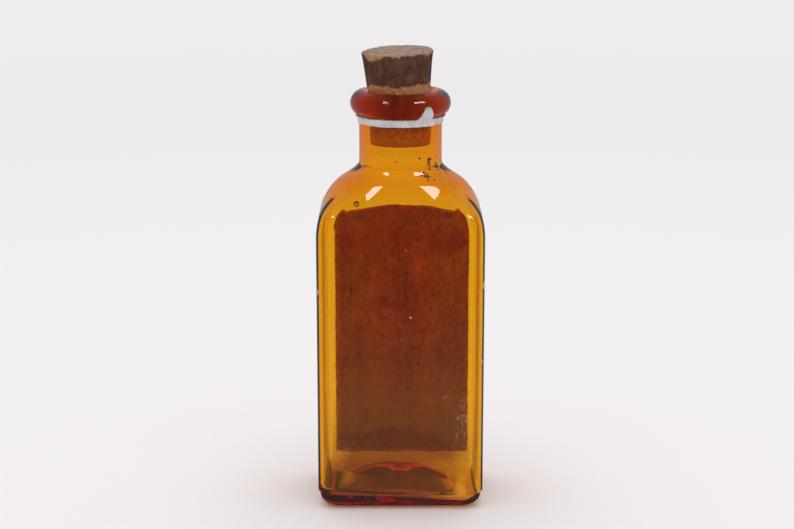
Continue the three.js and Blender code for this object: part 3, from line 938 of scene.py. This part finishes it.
class BOTTLE_OT_cork(Operator):
    """Make the stained cork with its grain, pores and chipped rim"""
    bl_idname = "bottle.cork"
    bl_label = "Cork"

    def execute(self, context):
        glass = context.scene.bottle_glass
        cork = context.scene.bottle_cork
        bm = bmesh.new()
        verts = [bm.verts.new((x, 0, z)) for x, z in cork_profile(glass, cork)]
        edges = [bm.edges.new(pair) for pair in zip(verts, verts[1:])]
        bmesh.ops.spin(bm, geom=verts + edges, cent=(0, 0, 0), axis=(0, 0, 1), angle=math.tau,
                       steps=CORK_SIDES, use_merge=True)
        bmesh.ops.remove_doubles(bm, verts=bm.verts, dist=CORK_MERGE)
        bmesh.ops.recalc_face_normals(bm, faces=bm.faces)
        self.weather(bm, glass, cork)
        lean = Matrix.Rotation(cork.lean_front, 4, "X") @ Matrix.Rotation(-cork.lean_left, 4, "Y")
        above = [vert for vert in bm.verts if vert.co.z > 0]
        bmesh.ops.transform(bm, matrix=lean, verts=above)
        for vert in above:
            vert.co.x -= cork.drift * smooth(0, glass.mouth_drop * 2, vert.co.z)
        bmesh.ops.translate(bm, vec=UP * (GLASS_HIGH.z - glass.mouth_drop), verts=bm.verts)
        finish_piece(bm, "cork", "cork", "dark_cork", [stained_cork(cork)], "cork_stopper")
        return {"FINISHED"}

    def weather(self, bm, glass, cork):
        """Cuts pores, grain and chips, and marks where the cork is bare or its crown weathered."""
        bare = bm.verts.layers.float.new("bare")
        crown = bm.verts.layers.float.new("crown")
        stand = cork.stand + glass.mouth_drop
        band = glass.mouth_drop + cork.clean_band
        rim = glass.neck_radius - glass.mouth_wall - cork.clearance + cork.flare
        bm.normal_update()
        normals = {vert: vert.normal.copy() for vert in bm.verts}
        for vert in bm.verts:
            where = vert.co.copy()
            on_top = smooth(*CROWN_SLOPE, normals[vert].z)
            chip = chip_height(math.atan2(where.y, where.x))
            chipped = smooth(*CHIP_FOOT, chip - (stand - where.z)) if chip > 0 else 0
            if on_top > 0.5:
                chipped *= smooth(*CHIP_INWARD, rim - math.hypot(where.x, where.y))
            ragged = wander(where, BAND_WANDER) * MM
            vert[bare] = max(chipped, smooth(*BAND_EDGE, where.z - band - ragged))
            vert[crown] = on_top
            cells = Vector((where.x, where.y, where.z * PORE_STRETCH)) * PORE_DENSITY
            pore = smooth(*PORE_EDGE, noise.voronoi(cells)[0][0])
            groove = noise.noise(Vector((where.x, where.y, where.z * GROOVE_STRETCH)) * GROOVE_DENSITY)
            cut = cork.chip_depth * chipped + cork.pit_depth * pore + cork.groove_depth * (0.5 + groove / 2)
            vert.co -= normals[vert] * cut


LABEL_COLUMNS = 72
LABEL_ROWS = 140
WORN_SIDE = (0.9, 1.0)
WORN_TOP = (0.985, 1.0)
WORN_FOOT = (0.015, 0.0)
TORN_SIDE = (0.8, 1.0)
TORN_TOP = (0.9, 1.0)
TORN_FOOT = (0.1, 0.0)
ARCH_LOW = (0.78, 0.84)
ARCH_HIGH = (0.93, 0.88)
MIDDLE_COLUMN = (0.7, 0.2)
MIDDLE_SHARE = 0.8
OUTER_SIDE = 0.2
TEAR_MEAN = 0.5
TEAR_WANDER = ((160, 0.5), (700, 0.35))


def panel_place(glass, x, z):
    """A point on the back panel or the shoulder above it."""
    body = body_level(glass)
    share = 1.0
    if z > body.height:
        rise = min(1.0, (z - body.height) / glass.shoulder_rise)
        share = math.sqrt(1 - rise * rise)
    half_width = mix(glass.neck_radius, body.half_width, share)
    half_depth = mix(glass.neck_radius, body.half_depth, share)
    corner = mix(glass.neck_radius, body.corner, share)
    past = max(0.0, abs(x) - (half_width - corner))
    return Vector((x, half_depth - corner + math.sqrt(max(0.0, corner * corner - past * past)), z))


class BOTTLE_OT_label(Operator):
    """Make the bare paper label on the back panel"""
    bl_idname = "bottle.label"
    bl_label = "Paper label"

    def execute(self, context):
        glass = context.scene.bottle_glass
        label = context.scene.bottle_label
        left, right = LABEL_LOW.x - label.spare_left, LABEL_HIGH.x + label.spare_right
        centre, half = (left + right) / 2, (right - left) / 2
        bm = bmesh.new()
        worn = bm.verts.layers.float.new("worn")
        arch = bm.verts.layers.float.new("arch")
        grid = bmesh.ops.create_grid(bm, x_segments=LABEL_COLUMNS, y_segments=LABEL_ROWS, size=1.0)["verts"]
        for vert in grid:
            across, up = vert.co.x, (vert.co.y + 1) / 2
            aside = abs(across)
            vert[worn] = max(smooth(*WORN_SIDE, aside), smooth(*WORN_TOP, up), smooth(*WORN_FOOT, up))
            vert[arch] = max(smooth(*ARCH_LOW, up) * smooth(*ARCH_HIGH, up),
                             MIDDLE_SHARE * smooth(*MIDDLE_COLUMN, aside))
            crown = LABEL_HIGH.z - label.corner_drop * across * across
            z = mix(LABEL_LOW.z, crown, up)
            x = centre + across * half
            inward = label.ragged * self.tear(Vector((0, 0, z)))
            x -= math.copysign(inward * smooth(*TORN_SIDE, aside), across)
            drop = label.ragged * self.tear(Vector((x, 0, 0)))
            z -= drop * smooth(*TORN_TOP, up) - drop * smooth(*TORN_FOOT, up)
            vert.co = panel_place(glass, x, z) + Vector((0, label.glue, 0))
        turn_outwards(bm, lambda face: face.normal.y)
        thicken(bm, label.thickness)
        for face in bm.faces:
            face.material_index = 1 if face.normal.y > OUTER_SIDE else 0
        finishes = (pasted_paper(label), aged_paper(label))
        finish_piece(bm, "label", "bottle", "brown_paper", finishes, "paper_label")
        return {"FINISHED"}

    def tear(self, where):
        """Uneven from 0 to about 1 along an edge."""
        return TEAR_MEAN + wander(where, TEAR_WANDER)


SEAL_SIDES = 320
SEAL_ROWS = 14
SEAL_MERGE = 0.001 * MM
SOILED_EDGE = (0.93, 1.0)
SOILED_SHARE = 0.7
TAB_STEEP = 0.45
TAB_TIP = (0.0, 0.7)
FOOT_WANDER = ((4, 1.0), (17, 0.5))
TOP_WANDER = ((6, 1.0), (21, 0.6))


def path_place(path, along, away):
    """The place at a distance along a path of radius and height, and away from it on its outside."""
    for (x0, z0), (x1, z1) in zip(path, path[1:]):
        run = math.hypot(x1 - x0, z1 - z0)
        if along <= run:
            share = along / run
            return mix(x0, x1, share) + away * (z1 - z0) / run, mix(z0, z1, share) - away * (x1 - x0) / run
        along -= run
    raise ValueError("the path is too short")


class BOTTLE_OT_seal(Operator):
    """Make the torn white sealing band under the lip"""
    bl_idname = "bottle.seal"
    bl_label = "Sealing band"

    def execute(self, context):
        glass = context.scene.bottle_glass
        seal = context.scene.bottle_seal
        path = lip_path(glass, SEAL_FOOT)
        bm = bmesh.new()
        edge = bm.verts.layers.float.new("edge")
        grid = bmesh.ops.create_grid(bm, x_segments=SEAL_SIDES, y_segments=SEAL_ROWS, size=1.0)["verts"]
        for vert in grid:
            angle, up = vert.co.x * math.pi, (vert.co.y + 1) / 2
            low, high = self.span(seal, angle)
            radius, height = path_place(path, mix(low, high, up), seal.glue)
            vert.co = (radius * math.cos(angle), radius * math.sin(angle), height)
            vert[edge] = smooth(*SOILED_EDGE, up) * SOILED_SHARE
        bmesh.ops.remove_doubles(bm, verts=bm.verts, dist=SEAL_MERGE)
        turn_outwards(bm, lambda face: face.normal.dot(face.calc_center_median() * SIDEWAYS))
        thicken(bm, seal.thickness)
        finish_piece(bm, "seal", "bottle", "white_paper", [torn_paper(seal)], "seal_band")
        return {"FINISHED"}

    def span(self, seal, angle):
        """Where the band's lower and upper edges lie along the glass in a direction."""
        round_neck = Vector((math.cos(angle), math.sin(angle), 0))
        aside = math.remainder(angle - seal.tab_direction, math.tau)
        if aside > 0:
            tab = seal.tab_rise * max(0.0, 1 - aside / seal.tab_right) ** TAB_STEEP
        else:
            tab = seal.tab_rise * smooth(*TAB_TIP, max(0.0, 1 + aside / seal.tab_left))
        low = seal.ragged * (1 + wander(round_neck, FOOT_WANDER))
        high = seal.ragged * (1 + sum(share * noise.noise(round_neck * often + UP)
                                      for often, share in TOP_WANDER))
        return low, high + seal.height + tab


Spray = namedtuple("Spray", "place spread number smallest largest")
DIRT = (
    Spray((8.0, -8.9, 102.5), (1.0, 0.5, 1.7), 40, 0.08, 0.34),
    Spray((7.4, -11.6, 99.1), (2.2, 0.5, 1.4), 46, 0.08, 0.3),
    Spray((10.2, -6.4, 100.9), (0.7, 0.9, 1.2), 20, 0.1, 0.34),
    Spray((12.3, -5.2, 98.8), (1.2, 0.8, 0.6), 6, 0.1, 0.3),
    Spray((5.3, -10.7, 104.1), (0.2, 0, 0.1), 2, 0.2, 0.38),
    Spray((-1.2, -11.9, 103.3), (0.1, 0, 0.1), 1, 0.25, 0.3),
    Spray((0, -11.9, 104.8), (4.6, 0, 0.25), 26, 0.03, 0.09),
    Spray((11.4, -5.4, 116.6), (0.5, 0.5, 0.3), 6, 0.1, 0.3),
    Spray((-11.6, -6.0, 116.8), (0.3, 0.4, 0.3), 4, 0.1, 0.25),
    Spray((-14.0, -17, 66.9), (0.3, 0, 0.5), 5, 0.15, 0.4),
    Spray((5.2, -17, 44.9), (0.4, 0, 0.6), 6, 0.12, 0.4),
    Spray((-14.8, -17, 54.2), (0.9, 0, 0.6), 10, 0.05, 0.16),
    Spray((0, -17, 46.2), (19, 0, 34), 60, 0.025, 0.07),
    Spray((-18.5, 0, 4.0), (4, 17, 1), 14, 0.05, 0.15),
    Spray((18.5, 0, 4.0), (4, 17, 1), 14, 0.05, 0.15),
    Spray((-16.8, -15.4, 15), (4.5, 0, 8), 90, 0.03, 0.11),
    Spray((17.3, -15.4, 15), (4, 0, 8), 70, 0.03, 0.11),
)
FLECKS = (
    Spray((-23.7, -14.6, 65.8), (0.2, 0.3, 0.7), 9, 0.25, 0.55),
    Spray((23.7, -14.4, 67.9), (0.2, 0.3, 0.6), 8, 0.25, 0.5),
    Spray((23.6, -14.6, 45.0), (0.1, 0.2, 0.4), 5, 0.2, 0.4),
    Spray((1.4, -17, 78.4), (0, 0, 0), 1, 0.24, 0.26),
    Spray((2.9, -17, 58.7), (0, 0, 0), 1, 0.28, 0.3),
    Spray((0.3, -17, 52.1), (0, 0, 0), 1, 0.26, 0.28),
    Spray((-6.6, -17, 48.5), (0.2, 0, 0.2), 2, 0.16, 0.24),
    Spray((12.5, -17, 39.8), (0.2, 0, 0.4), 3, 0.14, 0.24),
    Spray((12.8, -17, 34.6), (0.3, 0, 0.3), 3, 0.14, 0.24),
    Spray((18.2, -17, 27.2), (2.6, 0, 8), 90, 0.05, 0.18),
    Spray((-17, -17, 18.2), (3.5, 0, 4), 50, 0.05, 0.16),
    Spray((0, -17, 43.2), (19, 0, 34), 90, 0.04, 0.11),
    Spray((-24, 0, 43.2), (0, 14, 34), 30, 0.02, 0.08),
    Spray((24, 0, 43.2), (0, 14, 34), 30, 0.02, 0.08),
)
FLAKE_SIDES = 9
FLAKE_SEED = 7
FLAKE_SPREAD = 0.5
FLAKE_UNEVEN = (0.55, 1.25)


class BOTTLE_OT_marks(Operator):
    """Make the crusts of dirt, crumbs of paper and dust on the outside of the glass"""
    bl_idname = "bottle.marks"
    bl_label = "Dirt and dust"

    def execute(self, context):
        marks = context.scene.bottle_marks
        self.scatter("dirt", DIRT, marks, crusted_dirt(marks), "brown_paper")
        self.scatter("flecks", FLECKS, marks, paper_crumbs(marks), "white_paper")
        return {"FINISHED"}

    def scatter(self, name, sprays, marks, material, slot):
        """Lays flakes of uneven outline on the glass around given places."""
        glass = bpy.data.objects["bottle_glass"]
        chance = random.Random(FLAKE_SEED)
        bm = bmesh.new()
        for spray in sprays:
            for _ in range(spray.number):
                near = [middle + chance.gauss(0, FLAKE_SPREAD) * reach
                        for middle, reach in zip(spray.place, spray.spread)]
                _, where, normal, _ = glass.closest_point_on_mesh(Vector(near) * MM)
                self.flake(bm, where + normal * marks.lift, normal, spray, chance)
        thicken(bm, marks.thickness)
        finish_piece(bm, name, "bottle", slot, [material])

    def flake(self, bm, where, normal, spray, chance):
        radius = chance.uniform(spray.smallest, spray.largest) * MM
        ring = bmesh.ops.create_circle(bm, cap_ends=True, segments=FLAKE_SIDES, radius=radius,
                                       matrix=on_surface(where, normal))
        for vert in ring["verts"]:
            vert.co = where + (vert.co - where) * chance.uniform(*FLAKE_UNEVEN)


# Stage. Pairs give where something starts and ends: metres on the floor, or parts of a unit direction.

FLOOR_SIDES = 96
FLOOR_GLOW = 1.02
FLOOR_FADE = (0.35, 1.3)
SHADE_RING = (0.055, 0.11)
SHADE_BACK = (0.0, 0.015)
SHADE_ASIDE = (0.025, 0.016)
SPILL_RING = (0.034, 0.02)
SPILL_RIGHT = (0.006, 0.02)
# Where the floor's painted glow in reflections counts as in front, and its painted shade close to the bottle.
REFLECTED_FRONT = (-0.05, -0.15)
REFLECTED_SHADE = ((0.02, 0.2), (0.08, 1.0))
FORWARD = (-0.1, -0.5)
MIRROR_BACK = (-0.1, 2.2)
BACKDROP_BACK = (-0.5, 0.2)
BACKDROP_TOP = (0.75, 0.35)
Lamp = namedtuple("Lamp", "name place target width height power glint")
LAMPS = (
    Lamp("top_softbox", (0, 0.0, 1.6), (0, 0, 0), 2.0, 2.0, 17, False),
    Lamp("left_glint", (-0.595, -0.71, 0.885), (0, 0, 0.12), 0.26, 0.23, 2.0, True),
    Lamp("right_glint", (0.72, -0.56, 0.90), (0, 0, 0.12), 0.5, 0.26, 4.2, True),
)


def mirror_ray(tree, forward):
    """One for a ray that the glass mirrored, or that left it towards the front after mirroring inside it."""
    path = add_node(tree, "ShaderNodeLightPath").outputs
    bounced = calculate(tree, "SUBTRACT", 1.0, path["Is Transmission Ray"])
    clear = calculate(tree, "SUBTRACT", 1.0, path["Diffuse Depth"], clamp=True)
    inside = calculate(tree, "MINIMUM", path["Glossy Depth"], 1.0)
    left_forward = times(tree, times(tree, clear, inside), forward)
    return times(tree, path["Is Glossy Ray"], calculate(tree, "MAXIMUM", bounced, left_forward))


def mirrored_level(tree, backward, stage):
    """Brightness of the surroundings in the glass's reflections, by how far back they lie."""
    return map_range(tree, backward, *MIRROR_BACK, stage.mirrored_front_level, stage.backdrop_level)


def glow(tree, stage, strength):
    """An even light of the floor's colour."""
    return add_node(tree, "ShaderNodeEmission", {
        "Color": (*stage.floor, 1), "Strength": strength}).outputs["Emission"]


def mix_shaders(tree, share, first, second):
    return add_node(tree, "ShaderNodeMixShader", {0: share, 1: first, 2: second}).outputs["Shader"]


def pale_floor(stage):
    """Lit and shadowed round the bottle, and fading into an even white further off. Rays through the glass
    also see a painted amber shadow behind the bottle and a painted glow of light under its right side; the
    glass's reflections see the floor as a painted glow, dimmer in front and with painted shade close to the
    bottle.
    """
    material, tree, shader = new_material("pale_floor")
    where = add_node(tree, "ShaderNodeTexCoord").outputs["Object"]
    distance = add_node(tree, "ShaderNodeVectorMath", {0: where}, operation="LENGTH").outputs["Value"]
    heading = add_node(tree, "ShaderNodeVectorMath", {0: where}, operation="NORMALIZE").outputs["Vector"]
    backward = add_node(tree, "ShaderNodeSeparateXYZ", {"Vector": heading}).outputs["Y"]
    right, back = object_axis(tree, "X"), object_axis(tree, "Y")
    through = add_node(tree, "ShaderNodeLightPath").outputs["Is Transmission Ray"]

    # Painted shadow: an amber shade painted on the floor behind the bottle, which only rays through the glass
    # see.
    painted_shadow_tone = ramp(tree, distance, *zip(SHADE_RING, (stage.shade, stage.floor)))
    shaded = times(tree, map_range(tree, back, *SHADE_BACK), map_range(tree, off_middle(tree), *SHADE_ASIDE))
    tone = blend_colour(tree, times(tree, through, shaded), stage.floor, painted_shadow_tone)
    paint(tree, shader, tone, roughness=0.9)
    shader.inputs["Specular IOR Level"].default_value = 0.0
    fade = map_range(tree, distance, *FLOOR_FADE, soft=True)
    whole = mix_shaders(tree, fade, shader.outputs["BSDF"], glow(tree, stage, FLOOR_GLOW))

    # Painted light: a glow on the floor under the bottle's right side, which only rays through the glass see.
    painted_spill = times(tree, map_range(tree, distance, *SPILL_RING),
                  map_range(tree, right, *SPILL_RIGHT, top=stage.painted_spill))
    painted_spill = glow(tree, stage, times(tree, through, painted_spill))
    whole = add_node(tree, "ShaderNodeAddShader", {0: whole, 1: painted_spill}).outputs["Shader"]

    # Painted reflection: to rays the glass mirrors, the floor is a glow, dimmer in front and with painted
    # shade close to the bottle.
    reflected_glow = times(tree, mirrored_level(tree, backward, stage), ramp(tree, distance, *REFLECTED_SHADE))
    mirrored = mirror_ray(tree, map_range(tree, back, *REFLECTED_FRONT))
    seen = mix_shaders(tree, mirrored, whole, glow(tree, stage, reflected_glow))
    tree.links.new(seen, tree.nodes["Material Output"].inputs["Surface"])
    return material


class BOTTLE_OT_stage(Operator):
    """Make the floor, the lamps, the surroundings and the camera"""
    bl_idname = "bottle.stage"
    bl_label = "Stage"

    def execute(self, context):
        stage = context.scene.bottle_stage
        self.floor(context, stage)
        self.surroundings(context, stage)
        for lamp in LAMPS:
            self.lamp(context, lamp)
        self.camera(context, stage)
        context.scene.view_settings.view_transform = "Standard"
        return {"FINISHED"}

    def floor(self, context, stage):
        bm = bmesh.new()
        bmesh.ops.create_circle(bm, cap_ends=True, segments=FLOOR_SIDES, radius=stage.floor_radius)
        mesh = bpy.data.meshes.new("floor")
        bm.to_mesh(mesh)
        bm.free()
        mesh.materials.append(pale_floor(stage))
        floor = bpy.data.objects.new("floor", mesh)
        context.scene.collection.objects.link(floor)

    def surroundings(self, context, stage):
        """A dim room with a white backdrop behind and beside the bottle, even white to the camera."""
        world = bpy.data.worlds.new("surroundings")
        world.use_nodes = True
        context.scene.world = world
        tree = world.node_tree
        around = add_node(tree, "ShaderNodeTexCoord").outputs["Generated"]
        direction = add_node(tree, "ShaderNodeSeparateXYZ", {"Vector": around}).outputs
        path = add_node(tree, "ShaderNodeLightPath").outputs
        backdrop = times(tree, map_range(tree, direction["Y"], *BACKDROP_BACK, soft=True),
                         map_range(tree, direction["Z"], *BACKDROP_TOP, soft=True))
        level = mix_values(tree, backdrop, stage.room_level, stage.backdrop_level)
        behind_glass = times(tree, path["Is Transmission Ray"], path["Diffuse Depth"])
        level = mix_values(tree, behind_glass, level, stage.lamplight)
        mirrored = mirror_ray(tree, map_range(tree, direction["Y"], *FORWARD))
        level = mix_values(tree, mirrored, level, mirrored_level(tree, direction["Y"], stage))
        level = mix_values(tree, path["Is Camera Ray"], level, 1.0)
        light = tree.nodes["Background"]
        light.inputs["Color"].default_value = (*stage.floor, 1)
        tree.links.new(level, light.inputs["Strength"])

    def lamp(self, context, lamp):
        light = bpy.data.lights.new(lamp.name, "AREA")
        light.shape = "RECTANGLE"
        light.size, light.size_y, light.energy = lamp.width, lamp.height, lamp.power
        holder = bpy.data.objects.new(lamp.name, light)
        holder.location = lamp.place
        aim = Vector(lamp.target) - Vector(lamp.place)
        holder.rotation_euler = aim.to_track_quat("-Z", "Y").to_euler()
        holder.visible_diffuse = not lamp.glint
        holder.visible_glossy = lamp.glint
        holder.visible_transmission = False
        context.scene.collection.objects.link(holder)

    def camera(self, context, stage):
        camera = bpy.data.cameras.new("camera")
        camera.lens = camera.sensor_width * stage.focal_pixels / stage.photo_width
        holder = bpy.data.objects.new("camera", camera)
        holder.location = stage.camera_place
        holder.rotation_euler = (math.pi / 2 - stage.camera_pitch, 0, 0)
        context.scene.collection.objects.link(holder)
        context.scene.camera = holder


class BOTTLE_PT_panel(Panel):
    """Lists the pieces of the bottle"""
    bl_idname = "BOTTLE_PT_panel"
    bl_label = "Apothecary Bottle"
    bl_space_type = "VIEW_3D"
    bl_region_type = "UI"
    bl_category = "Bottle"

    def draw(self, context):
        for operator in OPERATORS:
            self.layout.operator(operator.bl_idname)


SETTINGS = {
    "bottle_glass": GlassSettings,
    "bottle_cork": CorkSettings,
    "bottle_label": LabelSettings,
    "bottle_seal": SealSettings,
    "bottle_marks": MarksSettings,
    "bottle_stage": StageSettings,
}
OPERATORS = (BOTTLE_OT_glass, BOTTLE_OT_cork, BOTTLE_OT_label, BOTTLE_OT_seal, BOTTLE_OT_marks,
             BOTTLE_OT_stage)
CLASSES = (*SETTINGS.values(), *OPERATORS, BOTTLE_PT_panel)


def register():
    for item in CLASSES:
        bpy.utils.register_class(item)
    for name, group in SETTINGS.items():
        setattr(bpy.types.Scene, name, PointerProperty(type=group))


def unregister():
    for name in SETTINGS:
        delattr(bpy.types.Scene, name)
    for item in reversed(CLASSES):
        bpy.utils.unregister_class(item)


def main():
    register()
    bpy.ops.bottle.glass()
    bpy.ops.bottle.cork()
    bpy.ops.bottle.label()
    bpy.ops.bottle.seal()
    bpy.ops.bottle.marks()
    bpy.ops.bottle.stage()


if __name__ == "__main__":
    main()
